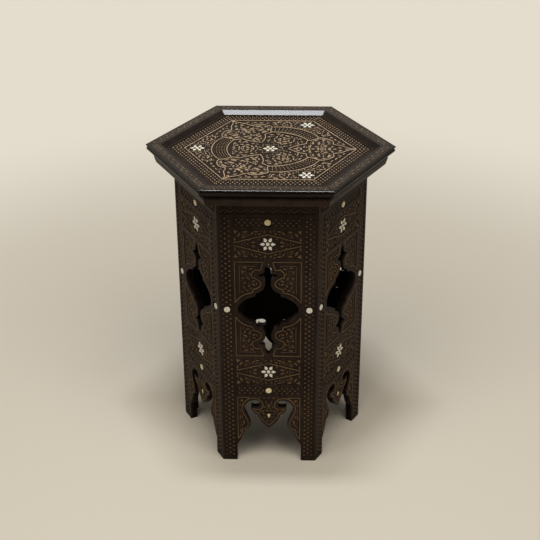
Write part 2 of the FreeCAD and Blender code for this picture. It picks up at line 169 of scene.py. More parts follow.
class CarvingSizes(bpy.types.PropertyGroup):
    """Sizes of the raised carving."""

    line: length_prop("Line", "Half the width of a raised outline", 0.0010)
    stem: length_prop("Stem", "Half the width of a scroll's stem", 0.0006)
    relief: length_prop("Relief", "Height of the carving above its sunk ground", 0.0014)
    rim_relief: length_prop("Rim Relief", "Height of the vine along the rim", 0.0004)
    strip_stud: length_prop("Strip Stud", "Radius of a cut triangle in the borders", 0.0026)
    strip_pitch: length_prop("Strip Pitch", "Spacing of the cut triangles in the upright strips", 0.0088)
    band_pitch: length_prop("Band Pitch", "Spacing of the cut triangles in the dotted bands", 0.0089)


class FinishColours(bpy.types.PropertyGroup):
    """Colours of the finishes."""

    lacquer: colour_prop("Lacquer", "Dark lacquer over the wood", tint(46, 36, 31))
    # The carving's rubbed colours are set part by part to the tone each shows under its light: the top's is
    # painted lighter for the light and glints on it, the sides' is painted darker for their shade.
    rubbed: colour_prop("Rubbed", "Carving of the sides, rubbed through to the wood", tint(107, 86, 59))
    rubbed_top: colour_prop("Rubbed Top", "Carving of the top, rubbed to the wood", tint(185, 162, 133))
    rubbed_rim: colour_prop("Rubbed Rim", "Vine of the rim, a little rubbed", tint(128, 112, 94))
    bone: colour_prop("Bone", "Polished bone inlay", tint(242, 237, 222))
    old_bone: colour_prop("Old Bone", "Yellowed bone of the upper and lower discs", tint(240, 224, 180))
    # The framing's dark colour is painted shade, keeping the inside of the table dark.
    framing: colour_prop("Framing", "Dark stain on the framing inside", tint(44, 33, 26))
    iron: colour_prop("Iron", "Cut nails", tint(62, 58, 56))
    backdrop: colour_prop("Backdrop", "Pale floor and backdrop", tint(228, 220, 204))


class StageSizes(bpy.types.PropertyGroup):
    """The camera and the lights."""

    lens: number_prop("Lens", "Focal length of the camera in millimetres", 76.81, unit="CAMERA")
    side_power: number_prop("Side Lights", "Watts of each light at the sides", 34.0, unit="POWER")
    overhead_power: number_prop("Overhead Light", "Watts of the light above", 16.0, unit="POWER")
    ambient: number_prop("Ambient", "Strength of the soft light from all around", 0.12)


class Wire:
    """A node's output, whose sums are written as Python expressions."""

    def __init__(self, layout, socket):
        self.layout = layout
        self.socket = socket

    def __add__(self, other):
        return self.layout.number("ADD", self, other)

    def __mul__(self, other):
        return self.layout.number("MULTIPLY", self, other)

    def __sub__(self, other):
        return self.layout.number("SUBTRACT", self, other)

    def __rsub__(self, other):
        return self.layout.number("SUBTRACT", other, self)

    __radd__ = __add__
    __rmul__ = __mul__


class Layout:
    """A node tree while its nodes are laid out."""

    def __init__(self, tree):
        self.tree = tree

    def node(self, kind, settings=None, inputs=None, output=0):
        """A node with its settings, or a ramp's stops, then the values or links of its sockets."""
        node = self.tree.nodes.new(kind)
        for key, value in (settings or {}).items():
            if key == "stops":
                for element, place in zip(node.color_ramp.elements, value):
                    element.position = place
            else:
                setattr(node, key, value)
        for key, value in (inputs or {}).items():
            self.feed(node.inputs[key], value)
        return Wire(self, node.outputs[output])

    def number(self, operation, *values):
        """A number worked out from up to three others."""
        return self.node("ShaderNodeMath", {"operation": operation}, dict(enumerate(values)))

    def feed(self, socket, value):
        """Links or sets one input."""
        if isinstance(value, Wire):
            self.tree.links.new(value.socket, socket)
        elif socket.type == "RGBA" and len(value) == 3:
            socket.default_value = (*value, 1.0)
        else:
            socket.default_value = value


class Finish(Layout):
    """The shader nodes of a new material, or of a new world."""

    def __init__(self, name, store="materials"):
        self.owner = getattr(bpy.data, store).new(name)
        self.owner.use_nodes = True
        super().__init__(self.owner.node_tree)

    def place(self):
        """Object coordinates."""
        return self.node("ShaderNodeTexCoord", output="Object")

    def noise(self, scale, detail, vector=None):
        """Noise over object coordinates, or over a vector."""
        return self.node("ShaderNodeTexNoise", inputs={
            "Vector": vector or self.place(), "Scale": scale, "Detail": detail})

    def streaks(self, scales, detail):
        """Noise with a scale for each axis."""
        stretched = self.node("ShaderNodeMapping", inputs={"Vector": self.place(), "Scale": scales})
        return self.noise(1.0, detail, stretched)

    def ramp(self, value, *stops):
        """A level that rises from none to full between two stops."""
        return self.node("ShaderNodeValToRGB", {"stops": stops}, {"Fac": value})

    def mix(self, share, first, second):
        """A colour between two colours."""
        return self.node("ShaderNodeMix", {"data_type": "RGBA"}, {0: share, 6: first, 7: second}, output=2)

    def bump(self, height, distance, strength):
        return self.node("ShaderNodeBump", inputs={
            "Height": height, "Distance": distance, "Strength": strength})

    def end(self, name, shader):
        """Links a shader to the output node of that name."""
        self.feed(self.tree.nodes[name].inputs["Surface"], shader)
        return self.owner

    def surface(self, **sockets):
        """Feeds the shader's sockets, named with underscores for spaces."""
        shader = self.tree.nodes["Principled BSDF"]
        for key, value in sockets.items():
            self.feed(shader.inputs[key.replace("_", " ")], value)
        return self.owner


def shade(colour, level):
    """A colour made darker or lighter by a level."""
    return [channel * level for channel in colour]


def colours():
    return bpy.context.scene.side_table_colours


def sizes():
    return bpy.context.scene.side_table_sizes


def from_axis(finish):
    """How far a point lies from the upright axis, measured square to the six sides."""
    reach = 0.0
    for turn in (30, 90, 150):
        across = finish.node("ShaderNodeVectorMath", {"operation": "DOT_PRODUCT"}, {
            0: finish.place(), 1: (*around(1.0, turn), 0.0)}, output="Value")
        reach = finish.number("MAXIMUM", finish.number("ABSOLUTE", across), reach)
    return reach


def lacquered(name, grain, level_with_painted_light, polished=False, shade_cut_faces=False):
    """Dark lacquer with streaks along the grain; where boards have openings, the cut edges and inner faces
    get painted shade.
    """
    finish = Finish(name)
    dark = shade(colours().lacquer, level_with_painted_light)
    streaks = finish.streaks(grain, 5.0)
    clouds = finish.noise(9.0, 2.0)
    pores = finish.streaks([axis * 6 for axis in grain], 2.0)
    grained = finish.ramp(streaks * 0.7 + clouds * 0.3, 0.36, 0.64)
    base = finish.mix(grained, shade(dark, 0.66), shade(dark, 1.3))
    worn = finish.ramp(clouds * pores, 0.32, 0.46)
    skin = finish.mix(worn * 0.5, base, shade(dark, 2.6))
    if shade_cut_faces:
        # Painted shade: the lacquer darkens on cut edges and inner faces that lie deeper than the panel's
        # face.
        outer = finish.node("ShaderNodeMapRange", inputs={
            "Value": from_axis(finish), "From Min": PANEL_FACE - PAINTED_SHADE_DEPTHS[1],
            "From Max": PANEL_FACE - PAINTED_SHADE_DEPTHS[0]})
        skin = finish.mix(outer, shade(dark, 0.3), skin)
    if polished:
        return finish.surface(Base_Color=skin, Roughness=0.05, Specular_IOR_Level=0.072)
    return finish.surface(
        Base_Color=skin,
        Roughness=0.26 + 0.2 * clouds,
        Specular_IOR_Level=0.03,
        Normal=finish.bump(streaks + 0.6 * pores, 0.00012, 0.5),
    )


def rubbed(name, colour):
    """Carving: lacquer in the hollows, rubbed through to pale wood on the tops."""
    finish = Finish(name)
    height = finish.node("ShaderNodeAttribute", {"attribute_name": "rub"}, output="Fac")
    patches = finish.noise(55.0, 3.0)
    specks = finish.noise(420.0, 2.0)
    wear = finish.ramp(height * (0.56 + 0.6 * patches) + 0.2 * specks, 0.26, 0.86)
    warm = finish.mix(patches, shade(colour, 0.6), shade(colour, 1.4))
    return finish.surface(
        Base_Color=finish.mix(wear, shade(colours().lacquer, 0.8), warm),
        Roughness=0.5 + 0.16 * specks,
        Specular_IOR_Level=0.08,
        Normal=finish.bump(specks, 0.0001, 0.4),
    )


def bone_finish(name, colour):
    """Polished bone, some pieces yellower, with fine streaks."""
    finish = Finish(name)
    yellow = [colour[0] * 0.88, colour[1] * 0.82, colour[2] * 0.64]
    batch = finish.ramp(finish.noise(26.0, 1.0), 0.42, 0.62)
    streaks = finish.streaks((900.0, 900.0, 220.0), 3.0)
    base = finish.mix(batch * 0.6, colour, yellow)
    return finish.surface(
        Base_Color=finish.mix(streaks * 0.4, base, shade(colour, 0.7)),
        Roughness=0.3 + 0.15 * streaks,
        Specular_IOR_Level=0.4,
        Normal=finish.bump(streaks, 0.00008, 0.4),
    )


def framing_finish(name):
    """Sawn framing wood, painted dark as shade inside the table."""
    finish = Finish(name)
    colour = list(colours().framing)
    grain = finish.streaks((160.0, 160.0, 12.0), 4.0)
    return finish.surface(
        Base_Color=finish.mix(grain, shade(colour, 0.5), shade(colour, 1.2)),
        Roughness=0.65 + 0.2 * grain,
        Specular_IOR_Level=0.2,
        Normal=finish.bump(grain, 0.0003, 0.6),
    )


def iron_finish(name):
    """Dull cut nails."""
    finish = Finish(name)
    rust = finish.noise(700.0, 3.0)
    return finish.surface(
        Base_Color=finish.mix(rust, list(colours().iron), tint(84, 58, 42)),
        Roughness=0.5 + 0.3 * rust,
        Metallic=0.8 - 0.5 * rust,
    )


def once(store, name, make, *values):
    """What a store holds by a name, made the first time that it is asked for."""
    return store.get(name) or make(name, *values)


class Carving:
    """A carving drawn flat, in millimetres: strokes with half widths, and cut studs."""

    def __init__(self):
        self.strokes = []
        self.studs = []
        self.taken = []

    def stroke(self, points, widths, smooth=True, closed=False, height=1.0):
        """A raised stroke through points, with a half width at each and a share of the relief's height."""
        if not isinstance(widths, list):
            widths = [widths] * len(points)
        self.strokes.append((points, widths, smooth, closed, height))
        last = points[-1] if closed else None
        for (x, y), width in zip(points, widths):
            if last:
                steps = max(1, int(math.dist(last, (x, y)) / TAKEN_STEP))
                for step in range(1, steps):
                    share = step / steps
                    between = (last[0] + (x - last[0]) * share, last[1] + (y - last[1]) * share)
                    self.taken.append((*between, width))
            self.taken.append((x, y, width))
            last = (x, y)

    def leaf(self, x, y, angle, length, width, bend=0.12):
        """A pointed leaf around a middle, with a bend to one side."""
        along = Vector(around(1, angle))
        across = Vector((-along.y, along.x))
        points = []
        for share in LEAF_STOPS:
            spot = Vector((x, y)) + along * length * share + across * length * bend * (1 - 4 * share * share)
            points.append((spot.x, spot.y))
        self.stroke(points, [0.12, 0.8 * width, width, 0.6 * width, 0.05], height=LEAF_HEIGHT)

    def leaves(self, rows, grow=1.0):
        """Leaves from rows of place, angle, length, width and perhaps bend."""
        for x, y, angle, length, width, *bend in rows:
            self.leaf(x, y, angle, length, grow * width, *bend)

    def scroll(self, x, y, radius, start, turns, stem):
        """A stem that winds inwards clockwise, with a bud in its eye."""
        count = int(turns * 8) + 1
        points = []
        widths = []
        for index in range(count):
            share = index / (count - 1)
            along, up = around(radius * (1 - 0.66 * share), start - 360 * turns * share)
            points.append((x + along, y + up))
            widths.append(stem * (1.15 - 0.4 * share))
        self.stroke(points, widths)
        self.leaf(x, y, start - 360 * turns + 180, radius * 0.62, radius * 0.17, -0.16)

    def room(self, x, y):
        """Clear distance from a spot to the nearest stroke."""
        return min((math.dist((x, y), spot[:2]) - spot[2] for spot in self.taken), default=math.inf)

    def fill(self, inside, step, length, width, centres, stem=0.0):
        """Leaves in the spaces that are left, turned around centres, on stems if these have a width."""
        chance = random.Random(CARVING_SEED)
        low, high = inside.box
        rows = int((high[1] - low[1]) / step) + 1
        columns = int((high[0] - low[0]) / step) + 1
        for row in range(rows):
            for column in range(columns):
                start = low[0] + (column + 0.5 * (row % 2)) * step
                x = start + chance.uniform(-FILL_JITTER, FILL_JITTER) * step
                y = low[1] + row * step * FILL_RISE + chance.uniform(-FILL_JITTER, FILL_JITTER) * step
                turn = chance.uniform(-FILL_TURN, FILL_TURN)
                grow = chance.uniform(0.8, 1.2)
                if not inside(x, y) or self.room(x, y) < length * FILL_ROOM:
                    continue
                near = min(centres, key=lambda centre: math.dist(centre, (x, y)))
                angle = math.degrees(math.atan2(y - near[1], x - near[0])) + FILL_LEAN + turn
                self.leaf(x, y, angle, length * grow, width * grow)
                if stem:
                    self.stalk(inside, (x, y), angle, length * grow, stem)

    def stalk(self, inside, spot, angle, length, width):
        """A thin stem that curls away from the foot of a leaf as far as there is room."""
        points = [Vector(spot) - Vector(around(0.45 * length, angle))]
        for turn in STALK_TURNS:
            after = points[-1] - Vector(around(0.36 * length, angle + turn))
            if not inside(*after) or self.room(*after) < STALK_ROOM and len(points) > 1:
                break
            points.append(after)
        if len(points) > 2:
            self.stroke([tuple(point) for point in points], width)

    def stud(self, x, y, turn, grow, sides=TRIANGLE):
        """A cut stud: a triangle or a dot."""
        self.studs.append((x, y, turn, grow, sides))
        self.taken.append((x, y, STUD_ROOM * grow))

    def take(self, other, turn=0.0, flip=(1, 1), move=(0.0, 0.0)):
        """Adds a copy of another carving, flipped, then turned, then moved."""
        swing = Matrix.Rotation(math.radians(turn), 2)

        def put(x, y):
            spot = swing @ Vector((x * flip[0], y * flip[1]))
            return (spot.x + move[0], spot.y + move[1])

        for points, *manner in other.strokes:
            self.strokes.append(([put(x, y) for x, y in points], *manner))
        for x, y, angle, grow, sides in other.studs:
            along, up = around(1, angle)
            spin = Vector((along * flip[0], up * flip[1]))
            self.studs.append((*put(x, y), math.degrees(math.atan2(spin.y, spin.x)) + turn, grow, sides))
        self.taken += [(*put(x, y), width) for x, y, width in other.taken]


class Area:
    """A flat area inside an outline."""

    def __init__(self, *outline):
        self.outline = outline
        xs, ys = zip(*outline)
        self.box = ((min(xs), min(ys)), (max(xs), max(ys)))

    def __call__(self, x, y):
        found = False
        last_x, last_y = self.outline[-1]
        for next_x, next_y in self.outline:
            if (next_y > y) != (last_y > y):
                if x < (last_x - next_x) * (y - next_y) / (last_y - next_y) + next_x:
                    found = not found
            last_x, last_y = next_x, next_y
        return found


def star_field(line, stem):
    """A quarter of the field around a star; its middle is the origin."""
    quarter = Carving()
    quarter.stroke([(53.4, 2.4), (0, 17)], line, smooth=False)
    quarter.stud(50.6, 21.8, 45, 2.1)
    quarter.leaves((
        (51.6, 8.4, 90, 9, 1.9, 0), (46, 16.2, 120, 11, 3.2, 0.06), (35.6, 22.4, 172, 9, 1.9, 0.1),
        (38.4, 12.6, 158, 6.6, 1.5, 0.1), (25.4, 19.6, 128, 7.6, 1.8, 0.12),
        (18.4, 22.6, 176, 8.6, 1.8, 0.05), (13, 18.6, 154, 7, 1.5, 0.1), (4.6, 21.9, 98, 6.6, 2.6, 0),
        (23.4, 4.2, 168, 9.4, 1.7, 0.16), (14.4, 9.6, 130, 5, 1.1, 0.1), (29, 7.8, 164, 5, 1, 0.1),
        (10.4, 23.6, 10, 5, 1.2, 0.1)))
    quarter.scroll(32.4, 16.8, 4.6, 70, 1.1, stem)
    quarter.fill(Area((51.6, 6), (51.6, 24.2), (1.6, 24.2), (1.6, 19.4)), 4.8, 4, 0.9, [(32.4, 16.8)])
    quarter.fill(Area((44, 1.2), (17, 9.8), (16, 1.2)), 4.8, 3.6, 0.8, [(22, 2)])
    return quarter


def window_field(line, stem):
    """A quarter of the field around the window; the window's middle is the origin."""
    quarter = Carving()
    quarter.stroke([(8, 88.2), (53, 88.2), (53, 13.6)], line, smooth=False)
    quarter.stroke([(8, 88.2), (9.4, 81), (11.4, 75.6), (13.4, 73)], line)
    quarter.stroke([(13.4, 73), (19.6, 74), (24, 70.6), (26.2, 65.6), (26.2, 60.4)], line)
    quarter.stroke([
        (26.2, 60.4), (20.4, 58.4), (14.4, 54.4), (11.6, 49.4), (12.4, 45), (16, 41.4), (23.4, 38.8)], line)
    quarter.stroke([(23.4, 38.8), (25, 32.4)], line, smooth=False)
    quarter.stroke([(25, 32.4), (36, 29.2), (45.4, 23), (52.8, 13.6)], line)
    quarter.stroke([(45.2, 31), (45.2, 80.8), (20, 80.8)], THIN * line, smooth=False)
    quarter.leaves((
        (36.8, 77, 12, 8.8, 2.1, 0.1), (27.6, 76.4, 166, 8, 1.8, 0.1), (41.6, 70, 95, 7.4, 1.7, 0.1),
        (29.6, 66, 80, 6.6, 1.6, 0.1), (32.6, 58, 64, 9.4, 2.5, 0.12), (38, 50.6, 162, 8.8, 2.2, 0.12),
        (23.6, 46.6, 34, 7.6, 2, 0.12), (31, 44.6, 104, 7.8, 2, 0.1), (23.4, 54, 154, 8, 1.9, 0.1),
        (19.4, 48.6, 100, 5.4, 1.4, 0.2), (38.8, 41.4, 70, 7.4, 1.8, 0.1), (33.6, 35.8, 20, 7.4, 1.7, 0.1),
        (41, 34, 100, 5.4, 1.3, 0.1), (41.4, 58.6, 88, 7, 1.6, 0.1), (27.8, 40.4, 150, 5, 1.3, 0.1)))
    quarter.scroll(35.4, 67.4, 5, 110, 1.2, stem)
    inside = Area(
        (20, 78.6), (43, 78.6), (43, 34), (36, 33.4), (27.6, 36.4), (26.6, 40.8), (18, 44.6), (14.6, 49),
        (19, 54.6), (27.4, 58.4), (28.6, 66), (25.4, 72.6))
    quarter.fill(inside, 4.8, 4, 0.9, [(35.4, 67.4)])
    return quarter


def arch_field(line):
    """Half of the field around the arch, measured from the floor."""
    half = Carving()
    half.stroke([(33, 131.6), (52.6, 131.6), (52.6, 45.6)], line, smooth=False)
    half.stroke([(52.6, 45.6), (48.4, 52), (46, 58.6), (45, 66.2)], line)
    half.stroke([(45, 66.2), (39.8, 68), (36.4, 71.4), (34.8, 76.6)], line)
    half.stroke([
        (34.8, 76.6), (36.6, 83.6), (40.4, 92.6), (44, 101), (45.4, 108.4), (44, 116), (41, 122),
        (36.4, 127), (30, 130), (24, 130.4), (17.2, 128.4), (12.2, 123.4), (9.8, 118), (9.9, 113),
        (12.6, 109.2), (16.6, 107.4), (20.8, 107.4), (25, 109.4)], line)
    half.stroke([
        (26.6, 110.4), (25, 105.4), (21.4, 101.6), (17.4, 99.6), (15.6, 95), (12.6, 89.4), (8.2, 83.4),
        (4.2, 79), (0, 75)], line)
    ring = [around(1.5, 45 * step) for step in range(8)]
    half.stroke([(45.4 + x, 125.2 + y) for x, y in ring], 0.9, closed=True)
    half.leaves((
        (42.6, 79.6, 92, 13, 2.8, 0), (46.8, 73.4, 60, 6, 1.4, 0.2), (49.2, 90, 94, 13, 1.2, 0.05),
        (46.2, 92, 100, 8, 1.1), (49.6, 105, 88, 9, 1), (49.4, 116, 92, 8, 1.1), (49.4, 62, 94, 9, 1.1),
        (7.8, 131.2, 4, 7, 1.3, 0), (15.4, 131.6, 178, 5.6, 1, 0), (5.4, 121.6, 76, 8.6, 1.1, 0.1),
        (5.6, 112.6, 100, 8, 1, -0.1), (10, 104.6, 150, 7, 1.3), (14.6, 103.2, 28, 6, 1.1),
        (9.2, 98, 66, 7, 1.2), (4.6, 104.6, 40, 6, 1.1), (8.6, 90, 58, 6.4, 1.1), (3.6, 83.8, 66, 6, 1.2)))
    half.fill(Area((1, 80), (11, 91), (14, 100), (8, 108), (8, 129), (1, 129)), 3.8, 4.2, 0.9, [(0, 108)])
    half.fill(Area((42, 70), (51, 52), (51, 122), (47.5, 118), (48, 104), (39, 84)), 4, 4.6, 0.9, [(42, 80)])
    return half


def panel_carving(line, stem):
    """All raised strokes of one side, across the panel and up from the floor."""
    carving = Carving()
    star = star_field(line, stem)
    window = window_field(line, stem)
    arch = arch_field(line)
    for across in (1, -1):
        carving.take(arch, flip=(across, 1))
        for up in (1, -1):
            for height in STAR_HEIGHTS:
                carving.take(star, flip=(across, up), move=(0, height))
            carving.take(window, flip=(across, up), move=(0, WINDOW_HEIGHT))
    carving.leaves(((0, 114, 90, 12, 2.2, 0), (0, 105, 90, 5, 1.1, 0), (0, 131.2, 0, 5, 1.2, 0)))
    teeth = [(-74.25 + TEETH_STEP * index, TEETH_FOOT + 6.2 * (index % 2)) for index in range(19)]
    carving.stroke(teeth, THIN * line, smooth=False)
    return carving


def panel_borders(strip_pitch, band_pitch):
    """The cut triangles and dots of one side's strips and bands, clear of the discs."""
    borders = Carving()

    def stud(x, y, turn, grow, sides=TRIANGLE):
        if all(math.dist((x, y), disc) > DISC_MARGIN for disc in DISC_SPOTS):
            borders.stud(x, y, turn, grow, sides)

    count = int(STRIP_LENGTH / strip_pitch)
    for side in (-1, 1):
        for index in range(count):
            z = STRIP_FOOT + STRIP_LENGTH * (index + 0.5) / count
            stud(side * 60.8, z, 0 if side > 0 else 180, 1.1)
            stud(side * 72.8, z, 180 if side > 0 else 0, 0.8)
            stud(side * 67, z + 0.5 * STRIP_LENGTH / count, 0, 0.86, DOT)
    columns = int(BAND_WIDTH / band_pitch)
    for foot in BAND_FEET:
        for index in range(columns):
            x = -BAND_WIDTH / 2 + BAND_WIDTH * (index + 0.5) / columns
            stud(x, foot + 12, 270, 1)
            stud(x, foot + 2, 90, 1)
            if index < columns - 1:
                stud(x + 0.5 * BAND_WIDTH / columns, foot + 7, 0, 0.8, DOT)
    for height in STAR_HEIGHTS:
        for x in (-40, -31.5, 31.5, 40):
            stud(x, height, 0, 0.66, DOT)
    for index in range(9):
        stud(-66 + 2 * TEETH_STEP * index, TEETH_FOOT, 90, 0.62)
        stud(-57.75 + 2 * TEETH_STEP * index, TEETH_FOOT + 8.2, 270, 0.5)
    return borders


def cartouche_half(line, stem):
    """Half of a cartouche of the top, beside its axis along X."""
    half = Carving()
    half.stroke([
        (138.4, 0), (132, 1.8), (126, 5), (120, 10.2), (114.4, 14.4), (107.6, 16.6), (101.8, 20)], line)
    half.stroke([
        (101.8, 20), (102.6, 28.4), (98.6, 36.6), (91, 42.8), (81.4, 46.4), (74, 41.2), (66.6, 36.4),
        (60.6, 34.2)], line)
    half.stroke([(60.6, 34.2), (58.8, 27.6), (58.2, 21)], line)
    half.stroke([(58.2, 21), (49, 17.2), (41, 11.6), (34.6, 5.8), (29.4, 0)], line)
    half.leaves((
        (79.6, 23.6, 84, 17, 2, 0.05), (93, 27, 104, 15, 1.8, -0.14), (86.4, 37, 142, 9.6, 1.6, -0.1),
        (70.4, 24.6, 82, 13, 1.6, 0.1), (74.8, 34.6, 38, 8.4, 1.5, 0.12), (64.4, 11.6, 30, 9, 1.4, 0.12),
        (76.4, 10.4, 168, 10, 1.7, 0.12), (89.2, 11.6, 150, 10, 1.6, -0.12),
        (101.4, 9.6, 62, 8.6, 1.7, 0.12), (114, 6.6, 142, 10, 2, 0.1), (56.4, 8.4, 76, 9.6, 1.4, 0.2),
        (45.4, 6, 30, 8, 1.3, 0.12)), 1.75)
    half.stroke([
        (64.6, 17), (66, 28), (73, 37.6), (83, 41.6), (92.6, 38), (98, 28.6), (96.4, 18.6), (88.4, 17),
        (85.6, 24)], stem)
    inside = Area(
        (128, 1.4), (120, 6.2), (111, 11.4), (98, 16), (98, 28), (94, 34), (88, 39), (81.4, 41.6),
        (75, 37), (68, 32.6), (63.6, 30), (62.4, 19), (50, 13), (42, 8), (36, 1.4))
    half.fill(inside, 6.6, 5.6, 2, [(80, 24), (112, 2), (52, 0)], stem)
    return half


def rosette_half(stem):
    """Half of what lies between two cartouches of the top, beside a star's axis along X."""
    half = Carving()
    half.taken.append((TOP_STAR_RADIUS, 0, 17))
    for radius, turns, lean, length, width, bend in (
            (17.6, (16, 48, 80, 112, 144, 172), 100, 8.6, 1.8, 0.12),
            (8.8, (28, 88, 148), 60, 8.2, 1.9, 0.14)):
        for turn in turns:
            x, y = around(radius, turn)
            half.leaf(ROSETTE_RADIUS + x, y, turn + lean, length, width, bend)
    half.leaves((
        (52, 29.6, 130, 8.6, 1.5), (42, 29, 150, 8, 1.4), (60.4, 21.4, 112, 8, 1.4),
        (29.4, 21.4, 160, 8, 1.4), (99.4, 52.4, 84, 9, 1.6), (92.4, 62, 112, 8.4, 1.5),
        (112.6, 29.4, 62, 8.4, 1.5), (113.4, 36.6, 120, 6.6, 1.4), (119.8, 20.4, 118, 7, 1.4),
        (104, 21.4, 84, 7.6, 1.5), (107.4, 47.4, 122, 8.4, 1.5), (98.6, 35.4, 40, 8, 1.7),
        (106.4, 38.4, 140, 7, 1.4), (93.4, 44.4, 100, 8, 1.5), (88, 72.4, 122, 8.6, 1.5),
        (83.4, 82, 112, 8.4, 1.4), (77.4, 93.4, 116, 8, 1.2)), 1.2)
    inner = Area(
        (24, 0.8), (64, 0.8), around(64, 10), around(64, 20), around(63, 28), (46, 34), (39, 29),
        (30, 24.4), (22, 22), (19, 16))
    outer = Area(
        (100, 0.8), around(98, 12), around(97, 27), (87, 47), (88.6, 58), (86, 69), (81, 77), (75, 82),
        (76, 90), (76, 98), (131, 4))
    for area, centres in ((inner, [(ROSETTE_RADIUS, 0)]), (outer, [(99.6, 37.4), (TOP_STAR_RADIUS, 0)])):
        half.fill(area, 6.8, 4.8, 1.05, centres, stem)
    return half


def star_bracket(line):
    """Upright bars and chevrons above and below a star of the top."""
    bracket = Carving()
    for up in (1, -1):
        for across in (1, -1):
            points = [(12.6 * across, 6.4 * up), (12.6 * across, 18.6 * up), (0, 13 * up)]
            bracket.stroke(points, THIN * line, smooth=False)
    return bracket


def top_carving(line, stem):
    """All raised strokes of the top, around its middle."""
    carving = Carving()
    hexagon = [around(HEXAGON_RADIUS, turn) for turn in SIDE_TURNS]
    line *= 0.95
    carving.stroke(hexagon, line, smooth=False, closed=True)
    cartouche = cartouche_half(line, stem)
    rosette = rosette_half(stem)
    bracket = star_bracket(line)
    for turn in CARTOUCHE_TURNS:
        for up in (1, -1):
            carving.take(cartouche, turn=turn, flip=(1, up))
        for radius, angle, length, width in (
                (40, 0, 7, 1.5), (50, 90, 11, 2), (69, 0, 8, 1.6), (77.6, 90, 10, 2.2), (85.4, 0, 8, 2),
                (95, 90, 10, 2), (104.6, 0, 8, 1.8), (124, 0, 8, 1.7)):
            carving.leaf(*around(radius, turn), turn + angle, length, 1.25 * width, 0)
    for turn in TOP_STAR_TURNS:
        for up in (1, -1):
            carving.take(rosette, turn=turn, flip=(1, up))
        for radius, sag, swing in ((95.6, 3.4, 4.75), (70.6, 0, 5.05)):
            arc = [around(radius - sag * (step / 6) ** 2, turn + swing * step) for step in RING_STEPS]
            carving.stroke(arc, line)
        for radius in (30, 44, 58):
            carving.leaf(*around(radius, turn), turn + 90, 7, 1.7, 0)
        carving.take(bracket, move=around(TOP_STAR_RADIUS, turn))
    carving.take(bracket)
    for x, y, angle in (
            (20.2, 0, 90), (22.6, 8.2, 50), (22.6, -8.2, 130), (16.6, 5.6, 20), (16.6, -5.6, 160)):
        for across in (1, -1):
            carving.leaf(across * x, across * y, angle, 6.6, 1.5, 0.1)
    return carving


def top_borders():
    """The cut triangles around the top and the dots of its ring."""
    borders = Carving()
    side = Carving()
    for apothem, turn, grow, sides in (
            (138, 90, 0.74, TRIANGLE), (132.4, 0, 0.66, DOT), (126.8, 270, 0.74, TRIANGLE)):
        half = apothem * math.tan(math.radians(SIDE_ANGLE / 2)) - 2.2
        steps = round(2 * half / 7.2)
        for index in range(steps + 1):
            side.stud(half * (2 * index / steps - 1), -apothem, turn, grow, sides)
    for turn in SIDE_TURNS:
        borders.take(side, turn=turn)
    for turn in TOP_STAR_TURNS:
        for radius in (74.8, 79.1, 83.4, 87.7):
            for step in RING_STEPS:
                angle = turn + RING_PITCH * step
                borders.stud(*around(radius, angle), angle, 0.44, DOT)
    return borders


def banded(mesh, rings):
    """The faces of a bmesh between each ring of points and the next."""
    faces = []
    for lower, upper in zip(rings, rings[1:]):
        for index in range(len(lower)):
            after = (index + 1) % len(lower)
            faces.append(mesh.faces.new((lower[index], lower[after], upper[after], upper[index])))
    return faces


def plain_mesh(name, mesh, *materials):
    """The mesh data of a closed bmesh, facing outwards."""
    bmesh.ops.recalc_face_normals(mesh, faces=mesh.faces)
    made = bpy.data.meshes.new(name)
    mesh.to_mesh(made)
    mesh.free()
    for material in materials:
        made.materials.append(material)
    return made


def rim_edge(material):
    """The polished arris along the nose of the rim: a slim bar, mitred at the corners."""
    mesh = bmesh.new()
    tilt = math.radians(NOSE_TILT)
    rings = []
    for along, out in EDGE_SECTION:
        reach = NOSE_CENTRE + (NOSE_ROUND + out) * math.sin(tilt) + along * math.cos(tilt)
        height = (NOSE_ROUND + out) * math.cos(tilt) - along * math.sin(tilt) - NOSE_ROUND
        corner = reach / math.cos(math.radians(SIDE_ANGLE / 2)) * MM
        spots = [around(corner, turn) for turn in SIDE_TURNS]
        rings.append([mesh.verts.new((*spot, height * MM)) for spot in spots])
    banded(mesh, rings + rings[:1])
    return plain_mesh("rim_edge", mesh, material)


def rim_carving():
    """A waving vine with a three-armed bud in each bend, along the six rails of the rim."""
    carving = Carving()
    rail = Carving()
    steps = range(-22, 23)
    vine = [(RIM_WAVE * step / 4, RIM_MIDDLE + 4.4 * math.sin(math.pi * step / 2)) for step in steps]
    rail.stroke(vine, 0.4)
    for step in range(-11, 11):
        x = RIM_WAVE * (step + 0.5) / 2
        up = 1 if step % 2 == 0 else -1
        rail.stroke([(x, RIM_MIDDLE - 5.2 * up), (x, RIM_MIDDLE + 0.6 * up)], 0.6)
        for across in (-1, 1):
            bud = ((0, 1.8), (1.6, 3.4), (3.2, 3.0))
            arm = [(x + reach * across, RIM_MIDDLE - drop * up) for reach, drop in bud]
            rail.stroke(arm, [0.4, 0.65, 0.5])
    for turn in SIDE_TURNS:
        carving.take(rail, turn=turn)
    return carving


